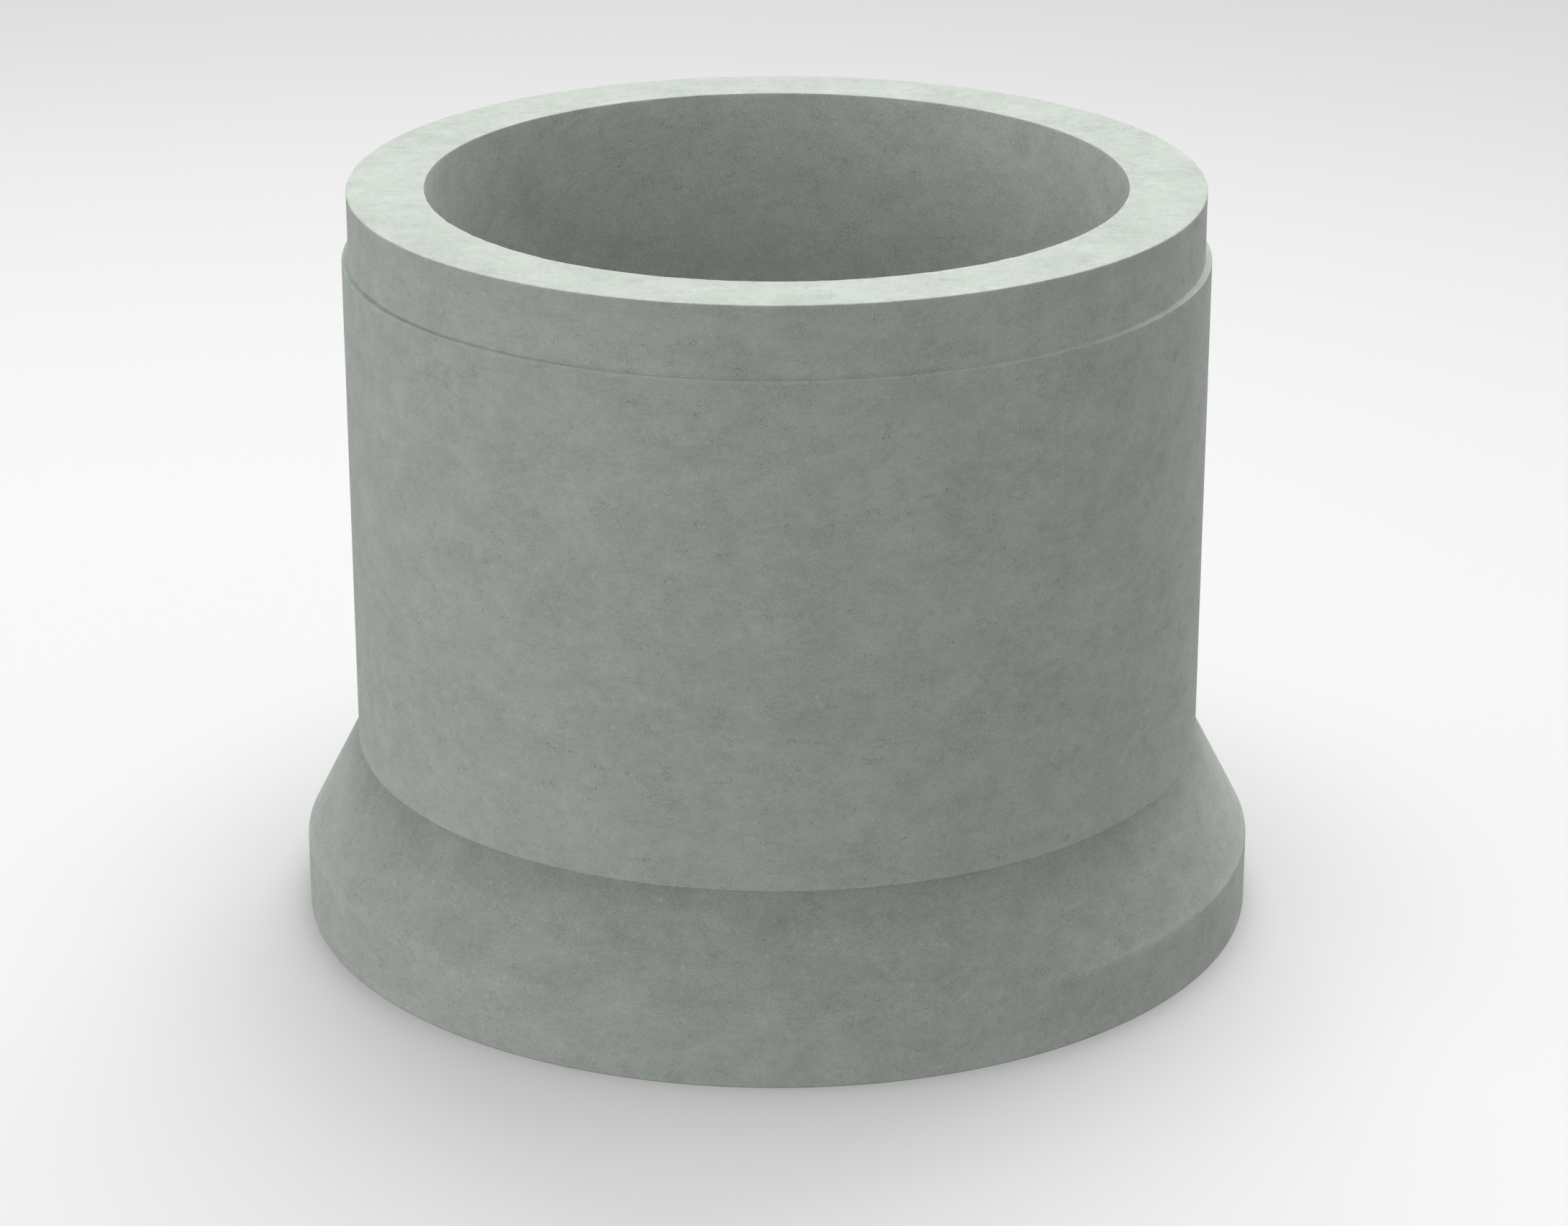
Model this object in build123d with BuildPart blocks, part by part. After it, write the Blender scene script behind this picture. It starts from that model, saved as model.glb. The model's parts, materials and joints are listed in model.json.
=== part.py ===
"""Concrete drain pipe with a bell socket, standing on its bell with the spigot up.

The pipe is one casting, turned about the vertical axis. The origin lies on that axis, in the
plane of the bell's end face, and +Z points out of the spigot. Sizes are in millimetres.
"""

import os

from build123d import *

# Barrel
bore_diameter = 1000.0
barrel_wall = 120.0

# Joint, where the spigot enters the socket of the next pipe with a rubber ring between them
laying_length = 1000.0  # how far one pipe carries the run
joint_gap = 12.0  # left open between the spigot's end and the socket's root
spigot_length = 100.0  # from the ledge that stops the rubber ring to the pipe's end
spigot_step = 9.5  # how far that ledge stands out from the spigot
ring_gap = 12.0  # radial room for the rubber ring once it is squeezed
socket_depth = 95.0
socket_root_radius = 10.0
lead_in_depth = 20.0  # bevel at the socket's mouth that guides the ring in
lead_in_flare = 6.0

# Bell
bell_wall = 77.5  # concrete around the socket
bell_band_height = 102.5  # straight band at the foot
bell_taper_height = 155.0  # slope from the band up to the barrel

# Outer edges, broken a little so that they don't chip when the mould comes off
arris_chamfer = 1.5

# Radii, outwards from the bore
bore_radius = bore_diameter / 2
barrel_radius = bore_radius + barrel_wall
spigot_radius = barrel_radius - spigot_step
socket_radius = spigot_radius + ring_gap
mouth_radius = socket_radius + lead_in_flare
bell_radius = socket_radius + bell_wall

# Heights, upwards from the bell's end face
taper_top_height = bell_band_height + bell_taper_height
overall_length = laying_length + socket_depth - joint_gap
ledge_height = overall_length - spigot_length

# Corners of the half section, each as radius and height
mouth = (mouth_radius, 0)
foot = (bell_radius, 0)
shoulder = (bell_radius, bell_band_height)
taper_top = (barrel_radius, taper_top_height)
ledge = (barrel_radius, ledge_height)
spigot_foot = (spigot_radius, ledge_height)
spigot_end = (spigot_radius, overall_length)
bore_end = (bore_radius, overall_length)
bore_start = (bore_radius, socket_depth)
socket_root = (socket_radius, socket_depth)
lead_in_end = (socket_radius, lead_in_depth)

# Outside from the foot to the spigot, then back down through the bore and the socket
section_outline = [foot, shoulder, taper_top, ledge, spigot_foot, spigot_end]
section_outline += [bore_end, bore_start, socket_root, lead_in_end, mouth]
arrises = [foot, shoulder, ledge, spigot_end, bore_end, bore_start, mouth]

with BuildPart() as concrete_pipe:
    with BuildSketch(Plane.XZ) as half_section:
        with BuildLine():
            Polyline(*section_outline, close=True)
        make_face()
        for corner in arrises:
            chamfer(half_section.vertices().sort_by_distance(corner)[0], length=arris_chamfer)
        fillet(half_section.vertices().sort_by_distance(socket_root)[0], radius=socket_root_radius)
    revolve(axis=Axis.Z)

concrete_pipe.part.label = "concrete_pipe"

os.makedirs("parts", exist_ok=True)
export_step(concrete_pipe.part, "parts/concrete_pipe.step")
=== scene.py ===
"""Looks of the concrete drain pipe: the cast surface, a pale floor, soft studio light and the camera.

Lengths are in metres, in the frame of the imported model: the pipe's axis is Z, and its bell stands on
the plane Z = 0 with the spigot up.
"""

import json
from math import radians

import bpy
import numpy as np
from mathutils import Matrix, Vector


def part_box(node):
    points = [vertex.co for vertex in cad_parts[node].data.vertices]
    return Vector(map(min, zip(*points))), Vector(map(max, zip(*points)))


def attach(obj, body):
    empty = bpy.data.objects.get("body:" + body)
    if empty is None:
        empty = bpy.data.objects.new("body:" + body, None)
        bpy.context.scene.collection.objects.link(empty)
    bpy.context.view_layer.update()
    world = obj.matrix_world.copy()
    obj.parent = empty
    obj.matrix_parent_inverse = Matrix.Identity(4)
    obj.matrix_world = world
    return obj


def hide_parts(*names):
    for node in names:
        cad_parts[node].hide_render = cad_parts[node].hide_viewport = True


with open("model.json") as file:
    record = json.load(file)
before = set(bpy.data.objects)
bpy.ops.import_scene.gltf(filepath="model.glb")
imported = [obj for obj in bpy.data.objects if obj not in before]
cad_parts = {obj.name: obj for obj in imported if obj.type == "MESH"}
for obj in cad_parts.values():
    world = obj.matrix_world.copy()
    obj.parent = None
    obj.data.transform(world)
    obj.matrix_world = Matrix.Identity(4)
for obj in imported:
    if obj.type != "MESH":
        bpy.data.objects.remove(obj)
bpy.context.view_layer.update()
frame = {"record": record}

# Section of the pipe: radii and lengths that the frame states
mm = 0.001
mounts = {mount["name"]: mount for mount in frame["record"]["mounts"]}
bore_radius = mounts["bore"]["dims"]["r_mm"] * mm
spigot_radius = mounts["spigot"]["dims"]["r_mm"] * mm
socket_radius = mounts["socket"]["dims"]["r_mm"] * mm
bell_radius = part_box("concrete_pipe")[1].x
overall_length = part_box("concrete_pipe")[1].z

# Section of the pipe: the rest of its sizes
barrel_radius = 0.620
spigot_length = 0.100
ledge_height = overall_length - spigot_length
taper_top_height = 0.2575
bell_band_height = 0.1025
socket_depth = 0.095
lead_in_depth = 0.020
lead_in_flare = 0.006
mouth_radius = socket_radius + lead_in_flare
arris_radius = 0.0015  # broken outer edges
crease_radius = 0.0005  # inner corners
socket_root_radius = 0.010

# Mesh of the casting
steps_round = 400
arc_steps = 3
run_density = 46.0  # steps on a straight run, for the square root of each metre

# Relief of the casting
relief_depth = 0.00035
relief_lengths = (0.07, 0.35)  # shortest and longest wave
relief_waves = 90
relief_seed = 3
nibble_depth = 0.0007
nibble_lengths = (0.018, 0.060)
nibble_seed = 5

# Colour of the concrete, and the painted shade and painted light that change it by place
concrete_colour = (0.333, 0.363, 0.329)
bore_colour_painted_pale = (0.394, 0.421, 0.388)  # painted light: paler than the outside, and also a little less green
painted_slope_shade = (0.155, 0.33)  # painted shade on the bell's slope, low down and in the crease under the barrel
painted_shade_power = 3  # of the height by which the painted shade grows
painted_shade_left_on_shoulder = 0.62  # share of the painted shade that stays on the shoulder, where it thins out
painted_shade_thinning_height = 0.018
shoulder_edge = (-0.002, 0.001)  # heights beside the shoulder between which the painted shade sets in
painted_ledge_light = 0.07  # painted light in the corner above the ledge, which lightens its shade
ledge_corner_height = 0.006

# Mottle and sandy grain. Levels are those of a noise that runs from 0 to 1.
bed_stretch = (1, 1, 1.5)  # the mottle lies a little flat
cloud_size = 0.10
cloud_octaves = 5
cloud_roughness = 0.95  # contrast of each octave, as a share of the one before
cloud_contrast = 0.72
cloud_levels = (0.3, 0.7)  # dark clouds and pale ones
cloud_mattness = (0.95, 0.85)  # the shader's roughness in them
concrete_specular = 0.3
grain_size = 0.0014
grain_octaves = 1
grain_roughness = 0.7
grain_contrast = 0.85
grain_depth = 0.0004
end_face_grain = 0.4  # share of the contrast that shows on the trowelled end face
bore_grain = 1.6  # and in the bore, which is rougher

# Dark sand grains
sand_size = 0.0022
sand_octaves = 1
sand_levels = (0.55, 0.65)  # a grain shows from the first, and is full at the second
sand_cluster_size = 0.028
sand_cluster_octaves = 2
sand_cluster_levels = (0.56, 0.69)
sand_between_clusters = 0.05
sand_share = 0.55
sand_colour = (0.12, 0.155, 0.175, 1)

# Broken hairlines
hairline_bend = 0.09
hairline_octaves = 2
hairline_wander = 0.5
hairline_level = 0.5  # the lines run where the noise has this level
hairline_band = 0.004  # and fade out this far from it
hairline_length = 0.05
hairline_break_octaves = 1
hairline_break_levels = (0.56, 0.66)
hairline_share = 0.2

# Pale lime specks
lime_spacing = 0.036
lime_radius = 0.005
lime_ragged_octaves = 2
lime_fade = (0.4, 1.6)  # shares of the radius between which a speck fades out
lime_share = 0.17
lime_colour = (0.62, 0.66, 0.61, 1)

# Studio: lamps by azimuth, elevation and strength. Azimuth 0 is in front, 90 on the right and 180 behind.
lamps = {
    "key_behind": (172, 45, 3.9),
    "edge_right": (135, 45, 0.7),
    "fill_left": (268, 10, 0.78),
    "fill_front_left": (315, 10, 0.42),
}
lamp_width = 45  # degrees that each lamp spans, seen from the pipe
room_strength = 0.69
room_dark_below = (-0.75, -0.35)  # sine of the elevation between which the light from below fades in

# Studio: the floor
floor_half_width = 40
floor_shadow = 0.25  # share of the lamps' light that the floor sends back, and a shadow takes away
floor_glow = 0.50
floor_painted_shadow_reach = 0.5  # how far from the pipe's foot the glow is dimmed by a painted contact shadow
floor_centre = (-0.8, -0.2, 0)  # brightest place of the floor's painted light
floor_fade = (1.8, 8.0)  # distances from there between which the painted light falls off
floor_falloff = 0.28

# Camera: millimetres for the lens, and degrees for the dip below the level and the turn about Z
camera_sensor = 36
camera_lens = 100.06
camera_place = (0, -6.003, 2.729)
camera_dip = 21.009
camera_turn = -0.0975


def pipe_section():
    """Corners of the half section, counter-clockwise from the foot: radius, height, rounding, arris."""
    return np.array([
        (bell_radius, 0, arris_radius, 1),
        (bell_radius, bell_band_height, arris_radius, 1),
        (barrel_radius, taper_top_height, crease_radius, 0),
        (barrel_radius, ledge_height, arris_radius, 1),
        (spigot_radius, ledge_height, crease_radius, 0),
        (spigot_radius, overall_length, arris_radius, 1),
        (bore_radius, overall_length, arris_radius, 1),
        (bore_radius, socket_depth, arris_radius, 1),
        (socket_radius, socket_depth, socket_root_radius, 0),
        (socket_radius, lead_in_depth, crease_radius, 0),
        (mouth_radius, 0, arris_radius, 1),
    ])


def unit(vectors):
    """Each vector divided by its length."""
    return vectors / np.linalg.norm(vectors, axis=-1, keepdims=True)


def rounded_outline(section):
    """Closed outline of the half section, and how much each of its points belongs to an arris.

    At each corner an arc touches both sides: with the corner's half angle h, it starts and ends at
    the radius over tan h from the corner, and its centre lies at the radius over sin h along the
    bisector. A straight run between two arcs is stepped by half of one minus the cosine, finely at
    both ends, and the number of its steps grows with the root of its length.
    """
    corners, rounding, arris = section[:, :2], section[:, 2:3], section[:, 3]
    back = unit(np.roll(corners, 1, axis=0) - corners)
    ahead = unit(np.roll(corners, -1, axis=0) - corners)
    half_angle = np.arccos(np.sum(back * ahead, axis=1, keepdims=True)) / 2
    centres = corners + unit(back + ahead) * rounding / np.sin(half_angle)
    starts = corners + back * rounding / np.tan(half_angle) - centres
    ends = corners + ahead * rounding / np.tan(half_angle) - centres
    sweep = (np.pi - 2 * half_angle)[:, :, None]
    share = np.linspace(0, 1, arc_steps + 1)[None, :, None]
    arcs = np.sin((1 - share) * sweep) * starts[:, None] + np.sin(share * sweep) * ends[:, None]
    arcs = centres[:, None] + arcs / np.sin(sweep)
    points, on_arris = [], []
    for arc, following, edge in zip(arcs, np.roll(arcs, -1, axis=0), arris):
        run = following[0] - arc[-1]
        steps = int(run_density * np.sqrt(np.linalg.norm(run))) + 2
        eased = (1 - np.cos(np.pi * np.arange(1, steps) / steps)) / 2
        points += [arc, arc[-1] + eased[:, None] * run]
        on_arris += [np.full(len(arc), edge), np.zeros(steps - 1)]
    return np.concatenate(points), np.concatenate(on_arris)


def plane_waves(points, lengths, count, seed):
    """Smooth noise from 0 to 1: plane waves of random direction, length and phase, summed and limited.

    The sum is divided by the root of their number, and its hyperbolic tangent is the limit.
    """
    draw = np.random.default_rng(seed)
    directions = unit(draw.normal(size=(count, 3)))
    wave_lengths = lengths[0] * (lengths[1] / lengths[0]) ** draw.random(count)
    phases = 2 * np.pi * draw.random(count)
    waves = np.cos(points @ (directions * 2 * np.pi / wave_lengths[:, None]).T + phases)
    return 0.5 + 0.5 * np.tanh(waves.sum(axis=-1) / np.sqrt(count))


def turned(flat):
    """Points of a radius and a height carried round Z: radius times cosine and sine, and the height."""
    angles = 2 * np.pi * np.arange(steps_round) / steps_round
    radius, height = flat[..., 0], flat[..., 1]
    return np.stack([
        radius * np.cos(angles),
        radius * np.sin(angles),
        height * np.ones_like(angles),
    ], axis=-1)


def carried_round(outline, on_arris):
    """The outline turned about Z, one row for each of its points, and sunk a little along the normal.

    The relief only takes material away, so the casting stays inside its mould. It is a slow wave of
    the whole face and a quicker nibble on the arrises, and it fades out on the face that stands down.
    """
    tangent = unit(np.roll(outline, -1, axis=0) - np.roll(outline, 1, axis=0))
    normal = np.stack([tangent[:, 1], -tangent[:, 0]], axis=1)
    smooth = turned(outline[:, None, :])
    sunk = relief_depth * plane_waves(smooth, relief_lengths, relief_waves, relief_seed)
    nibble = plane_waves(smooth, nibble_lengths, relief_waves, nibble_seed) ** 2
    sunk += nibble_depth * on_arris[:, None] * nibble
    sunk *= np.clip(outline[:, 1] / bell_band_height, 0, 1)[:, None]
    return turned(outline[:, None, :] - normal[:, None, :] * sunk[..., None])


def closed_grid(name, grid):
    """Mesh object of a grid of points that closes on itself both ways, with quads that face outwards."""
    rows, columns = grid.shape[:2]
    numbers = np.arange(rows * columns).reshape(rows, columns)
    above, beside = np.roll(numbers, -1, axis=0), np.roll(numbers, -1, axis=1)
    corner = np.roll(above, -1, axis=1)
    quads = np.stack([numbers, beside, corner, above], axis=-1).reshape(-1, 4)
    mesh = bpy.data.meshes.new(name)
    mesh.vertices.add(rows * columns)
    mesh.vertices.foreach_set("co", grid.astype(np.float32).ravel())
    mesh.loops.add(quads.size)
    mesh.loops.foreach_set("vertex_index", quads.astype(np.int32).ravel())
    mesh.polygons.add(len(quads))
    mesh.polygons.foreach_set("loop_start", np.arange(0, quads.size, 4, dtype=np.int32))
    mesh.polygons.foreach_set("use_smooth", np.ones(len(quads), dtype=bool))
    mesh.update(calc_edges=True)
    mesh.validate()
    made = bpy.data.objects.new(name, mesh)
    bpy.context.scene.collection.objects.link(made)
    return made


class NodeSheet:
    """The nodes of a material or the world, with short ways to add those that the finishes need."""

    def __init__(self, owner, shader):
        owner.use_nodes = True
        self.owner = owner
        self.tree = owner.node_tree
        self.shader = self.tree.nodes[shader]
        self.coordinates = self.tree.nodes.new("ShaderNodeTexCoord").outputs
        self.place = self.coordinates["Object"]

    def node(self, kind, inputs=None, **settings):
        """A new node. Each of its inputs is linked to a socket, or set to a value."""
        made = self.tree.nodes.new(kind)
        for key, value in settings.items():
            setattr(made, key, value)
        for key, value in (inputs or {}).items():
            if isinstance(value, bpy.types.NodeSocket):
                self.tree.links.new(value, made.inputs[key])
            else:
                made.inputs[key].default_value = value
        return made

    def noise(self, size, octaves, roughness=0.5, distortion=0.0, place=None):
        """Cloudy noise whose patches are about as wide as size."""
        return self.node("ShaderNodeTexNoise", {
            "Vector": place or self.place,
            "Scale": 1 / size,
            "Detail": octaves,
            "Roughness": roughness,
            "Distortion": distortion,
        }).outputs["Fac"]

    def ramp(self, value, start, end, low=0.0, high=1.0, smooth=True):
        """Value mapped from start..end to low..high, and held there outside."""
        return self.node("ShaderNodeMapRange", {
            "Value": value,
            "From Min": start,
            "From Max": end,
            "To Min": low,
            "To Max": high,
        }, interpolation_type="SMOOTHSTEP" if smooth else "LINEAR").outputs["Result"]

    def spread(self, value, middle, contrast):
        """Value from 0 to 1 mapped evenly to a range as wide as contrast about the middle."""
        return self.ramp(value, 0, 1, middle - contrast / 2, middle + contrast / 2, smooth=False)

    def math(self, operation, first, second=0.0):
        """Result of one operation on two numbers."""
        return self.node("ShaderNodeMath", {0: first, 1: second}, operation=operation).outputs[0]

    def mix(self, share, first, second):
        """The first colour, with a share of the second in its place. Sockets 6 and 7 take colours."""
        made = self.node("ShaderNodeMix", {"Factor": share, 6: first, 7: second}, data_type="RGBA")
        return made.outputs[2]

    def join(self, value, socket):
        """Links a value to an input of the shader."""
        self.tree.links.new(value, self.shader.inputs[socket])


def outside_bore(sheet):
    """0 in the bore and 1 outside it, by the distance from the axis."""
    flat = sheet.node("ShaderNodeVectorMath", {0: sheet.place, 1: (1, 1, 0)}, operation="MULTIPLY")
    radius = sheet.node("ShaderNodeVectorMath", {0: flat.outputs[0]}, operation="LENGTH")
    return sheet.ramp(radius.outputs["Value"], bore_radius, bore_radius + 2 * arris_radius)


def painted_shade_and_light_tone(sheet, height, outside):
    """Tone by place, 1 where the casting is plain: painted shade on the bell's slope, and painted light
    above the ledge.

    Up the slope, the painted shade grows with a power of the height, so that it is darkest in the crease
    under the barrel, and it thins out on the shoulder. The bore has neither.
    """
    up_slope = sheet.ramp(height, bell_band_height, taper_top_height, smooth=False)
    shade_growth = sheet.math("POWER", up_slope, painted_shade_power)
    shade_on_slope = sheet.ramp(shade_growth, 0, 1, *painted_slope_shade, smooth=False)
    shade_on_slope = sheet.math("MULTIPLY", shade_on_slope, sheet.math("LESS_THAN", height, taper_top_height))
    above_shoulder = sheet.math("SUBTRACT", height, bell_band_height)
    shade_on_slope = sheet.math("MULTIPLY", shade_on_slope, sheet.ramp(above_shoulder, *shoulder_edge))
    thinned_on_shoulder = sheet.ramp(above_shoulder, 0.0, painted_shade_thinning_height, painted_shade_left_on_shoulder, 1.0)
    shade_on_slope = sheet.math("MULTIPLY", shade_on_slope, thinned_on_shoulder)
    # painted light that lightens the shaded corner above the ledge
    ledge_light = sheet.ramp(height, ledge_height, ledge_height + ledge_corner_height, painted_ledge_light, 0.0)
    on_ledge = sheet.math("GREATER_THAN", height, ledge_height - arris_radius / 2)
    shade = sheet.math("SUBTRACT", shade_on_slope, sheet.math("MULTIPLY", ledge_light, on_ledge))
    return sheet.math("SUBTRACT", 1.0, sheet.math("MULTIPLY", shade, outside))


def grain_strength(sheet, height, outside):
    """Share of the sandy grain that shows: less on the trowelled end face, and more in the bore."""
    trowelled = (overall_length - 2 * arris_radius, overall_length - arris_radius)
    on_outside = sheet.ramp(height, *trowelled, 1.0, end_face_grain)
    return sheet.math("MULTIPLY", on_outside, sheet.ramp(outside, 0, 1, bore_grain, 1.0, smooth=False))


def with_sand(sheet, colour, bedded):
    """The colour with dark sand grains, which gather in loose clusters."""
    grains = sheet.ramp(sheet.noise(sand_size, sand_octaves), *sand_levels)
    clusters = sheet.noise(sand_cluster_size, sand_cluster_octaves, place=bedded)
    clusters = sheet.ramp(clusters, *sand_cluster_levels, sand_between_clusters, 1.0)
    sand = sheet.math("MULTIPLY", sheet.math("MULTIPLY", grains, clusters), sand_share)
    return sheet.mix(sand, colour, sand_colour)


def with_hairlines(sheet, colour, bedded):
    """The colour with a few dark hairlines along one level of a noise, broken by another noise."""
    contour = sheet.noise(hairline_bend, hairline_octaves, distortion=hairline_wander, place=bedded)
    off_line = sheet.math("ABSOLUTE", sheet.math("SUBTRACT", contour, hairline_level))
    lines = sheet.ramp(off_line, 0.0, hairline_band, hairline_share, 0.0)
    broken = sheet.ramp(sheet.noise(hairline_length, hairline_break_octaves), *hairline_break_levels)
    return sheet.mix(sheet.math("MULTIPLY", lines, broken), colour, sand_colour)


def with_lime(sheet, colour):
    """The colour with rare pale lime specks: one in each cell of a cell pattern, with a ragged edge."""
    cells = sheet.node("ShaderNodeTexVoronoi", {"Vector": sheet.place, "Scale": 1 / lime_spacing})
    radius = lime_radius / lime_spacing
    ragged = sheet.math("MULTIPLY", sheet.noise(lime_radius, lime_ragged_octaves), radius)
    distance = sheet.math("ADD", cells.outputs["Distance"], ragged)
    lime = sheet.ramp(distance, lime_fade[0] * radius, lime_fade[1] * radius, lime_share, 0.0)
    return sheet.mix(lime, colour, lime_colour)


def concrete_finish():
    """Matt grey-green concrete as it leaves a steel mould.

    The mottle is cloudy and faint, with about the same contrast at every size from a hand's width
    down to a few millimetres. The sandy grain adds to it in tone and in relief.
    """
    sheet = NodeSheet(bpy.data.materials.new("concrete"), "Principled BSDF")
    height = sheet.node("ShaderNodeSeparateXYZ", {0: sheet.place}).outputs["Z"]
    outside = outside_bore(sheet)
    bedded = sheet.node("ShaderNodeMapping", {"Vector": sheet.place, "Scale": bed_stretch}).outputs[0]
    clouds = sheet.noise(cloud_size, cloud_octaves, cloud_roughness, place=bedded)
    grain = sheet.noise(grain_size, grain_octaves, grain_roughness, place=bedded)

    mottle = sheet.spread(clouds, 1.0, cloud_contrast)
    # painted shade on the bell's slope and painted light above the ledge
    tone = sheet.math("MULTIPLY", mottle, painted_shade_and_light_tone(sheet, height, outside))
    sandy = sheet.spread(grain, 0.0, grain_contrast)
    sandy = sheet.math("MULTIPLY", sandy, grain_strength(sheet, height, outside))
    tone = sheet.math("ADD", tone, sandy)

    # the bore's colour is painted paler, as painted light in the bore
    colour = sheet.mix(outside, (*bore_colour_painted_pale, 1), (*concrete_colour, 1))
    colour = sheet.node("ShaderNodeVectorMath", {0: colour, "Scale": tone}, operation="SCALE").outputs[0]
    colour = with_sand(sheet, colour, bedded)
    colour = with_hairlines(sheet, colour, bedded)
    colour = with_lime(sheet, colour)
    sheet.join(colour, "Base Color")

    sheet.join(sheet.ramp(clouds, *cloud_levels, *cloud_mattness, smooth=False), "Roughness")
    sheet.shader.inputs["Specular IOR Level"].default_value = concrete_specular
    bump = sheet.node("ShaderNodeBump", {"Height": grain, "Distance": grain_depth})
    sheet.join(bump.outputs["Normal"], "Normal")
    return sheet.owner


def seen_rays(sheet):
    """1 for rays that show a surface to the eye, also by a mirror or a pane, and 0 for those that light."""
    path = sheet.node("ShaderNodeLightPath").outputs
    mirrored = sheet.math("MAXIMUM", path["Is Glossy Ray"], path["Is Transmission Ray"])
    return sheet.math("MAXIMUM", path["Is Camera Ray"], mirrored)


def floor_finish():
    """White floor: about half of its white is a glow that only the eye sees, and the lamps make the rest.

    The glow is painted light that falls off with the distance from the floor's brightest place, and a
    painted contact shadow dims it round the pipe's foot. The lamps' part keeps the pipe's shadow.
    """
    sheet = NodeSheet(bpy.data.materials.new("studio_floor"), "Principled BSDF")
    sheet.shader.inputs["Base Color"].default_value = (floor_shadow, floor_shadow, floor_shadow, 1)
    sheet.shader.inputs["Roughness"].default_value = 1.0
    sheet.shader.inputs["Specular IOR Level"].default_value = 0.0
    away = sheet.node("ShaderNodeVectorMath", {0: sheet.place, 1: floor_centre}, operation="DISTANCE")
    glow = sheet.ramp(away.outputs["Value"], *floor_fade, floor_glow, floor_glow - floor_falloff)
    # painted contact shadow: ambient occlusion dims the glow near the pipe
    corner = sheet.node("ShaderNodeAmbientOcclusion", {"Distance": floor_painted_shadow_reach})
    glow = sheet.math("MULTIPLY", glow, corner.outputs["AO"])
    sheet.shader.inputs["Emission Color"].default_value = (1, 1, 1, 1)
    sheet.join(sheet.math("MULTIPLY", glow, seen_rays(sheet)), "Emission Strength")
    return sheet.owner


def add_floor():
    """Plain square under the pipe. It holds back no light, so the pale room lights the pipe all round."""
    mesh = bpy.data.meshes.new("studio_floor")
    corners = floor_half_width * np.array([(-1, -1, 0), (1, -1, 0), (1, 1, 0), (-1, 1, 0)])
    mesh.from_pydata(corners.tolist(), [], [(0, 1, 2, 3)])
    floor = bpy.data.objects.new("studio_floor", mesh)
    floor.visible_diffuse = False
    floor.visible_shadow = False
    bpy.context.scene.collection.objects.link(floor)
    mesh.materials.append(floor_finish())


def add_lamp(name, azimuth, elevation, strength):
    """Large soft lamp, aimed at the pipe."""
    data = bpy.data.lights.new(name, "SUN")
    data.angle = radians(lamp_width)
    data.energy = strength
    lamp = bpy.data.objects.new(name, data)
    lamp.rotation_euler = (radians(90 - elevation), 0, radians(azimuth))
    bpy.context.scene.collection.objects.link(lamp)


def add_world():
    """Even pale room that is dark straight below the pipe, and that the eye sees as white."""
    world = bpy.data.worlds.new("studio")
    sheet = NodeSheet(world, "Background")
    up = sheet.node("ShaderNodeSeparateXYZ", {0: sheet.coordinates["Generated"]}).outputs["Z"]
    light = sheet.ramp(up, *room_dark_below, 0.0, room_strength)
    sheet.join(sheet.math("MAXIMUM", light, seen_rays(sheet)), "Strength")
    sheet.shader.inputs["Color"].default_value = (1, 1, 1, 1)
    bpy.context.scene.world = world


def add_camera():
    """Camera at the photograph's viewing angle."""
    data = bpy.data.cameras.new("camera")
    data.sensor_width = camera_sensor
    data.lens = camera_lens
    camera = bpy.data.objects.new("camera", data)
    camera.location = camera_place
    camera.rotation_euler = (radians(90 - camera_dip), 0, radians(camera_turn))
    bpy.context.scene.collection.objects.link(camera)
    bpy.context.scene.camera = camera


pipe = closed_grid("pipe_casting", carried_round(*rounded_outline(pipe_section())))
pipe.data.materials.append(concrete_finish())
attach(pipe, "root")
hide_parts("concrete_pipe")

add_floor()
for lamp_name, lamp_aim in lamps.items():
    add_lamp(lamp_name, *lamp_aim)
add_world()
add_camera()
bpy.context.scene.view_settings.view_transform = "Standard"
